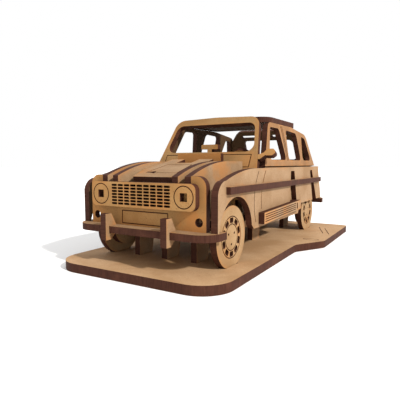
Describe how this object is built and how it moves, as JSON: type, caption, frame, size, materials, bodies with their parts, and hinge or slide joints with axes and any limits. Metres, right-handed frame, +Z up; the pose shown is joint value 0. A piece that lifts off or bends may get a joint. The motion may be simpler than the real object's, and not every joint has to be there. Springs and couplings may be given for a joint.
{
  "type": "wooden model car kit",
  "caption": "Flat-pack wooden puzzle model of a small five-door hatchback, built from slotted laser-cut sheet pieces and standing on a shaped display base, with turning wheels.",
  "frame": {"origin": "centre of the display base's bounding box, on its underside", "axes": "+X to the car's left, +Y to the car's rear, +Z up"},
  "size_m": [0.108, 0.177, 0.0739],
  "materials": {
    "base_board": "raw fibreboard, laser cut",
    "car_sheet": "raw fibreboard, laser cut with dark burnt edges",
    "tyre_disc": "raw fibreboard, laser cut with dark burnt edges",
    "dowel": "raw round rod"
  },
  "bodies": {
    "car": {"base_plate": "base_board", "floor_plate": "car_sheet", "chassis_rail_left": "car_sheet", "chassis_rail_middle": "car_sheet", "chassis_rail_right": "car_sheet", "cross_member_front": "car_sheet", "cross_member_middle": "car_sheet", "cross_member_rear": "car_sheet", "front_panel": "car_sheet", "grille_panel": "car_sheet", "front_bumper": "car_sheet", "bonnet_panel": "car_sheet", "bulkhead": "car_sheet", "cowl_plate": "car_sheet", "overrider_left": "car_sheet", "overrider_right": "car_sheet", "bonnet_rib_inner_left": "car_sheet", "bonnet_rib_inner_right": "car_sheet", "bonnet_rib_outer_left": "car_sheet", "bonnet_rib_outer_right": "car_sheet", "windscreen_frame": "car_sheet", "door_mirror": "car_sheet", "dashboard": "car_sheet", "inside_mirror": "car_sheet", "steering_wheel": "car_sheet", "steering_column": "dowel", "roof_panel": "car_sheet", "tail_frame": "car_sheet", "tailgate": "car_sheet", "rear_bumper": "car_sheet", "side_panel_left": "car_sheet", "side_panel_right": "car_sheet", "side_liner_left": "car_sheet", "side_liner_right": "car_sheet", "trim_strip_left": "car_sheet", "trim_strip_right": "car_sheet", "running_board_left": "car_sheet", "running_board_right": "car_sheet", "window_panel_left": "car_sheet", "window_panel_right": "car_sheet"},
    "front_wheels": {"front_axle": "dowel", "wheel_disc_front_left": "tyre_disc", "wheel_disc_front_right": "tyre_disc", "wheel_hub_front_left": "tyre_disc", "wheel_hub_front_right": "tyre_disc"},
    "rear_wheels": {"rear_axle": "dowel", "wheel_disc_rear_left": "tyre_disc", "wheel_disc_rear_right": "tyre_disc", "wheel_hub_rear_left": "tyre_disc", "wheel_hub_rear_right": "tyre_disc"}
  },
  "joints": [
    {"name": "front_wheels_turn", "type": "hinge", "parent": "car", "child": "front_wheels", "pos_m": [0, -0.05588, 0.0166], "axis": [1, 0, 0], "continuous": true},
    {"name": "rear_wheels_turn", "type": "hinge", "parent": "car", "child": "rear_wheels", "pos_m": [0, 0.06012, 0.0166], "axis": [1, 0, 0], "continuous": true}
  ]
}
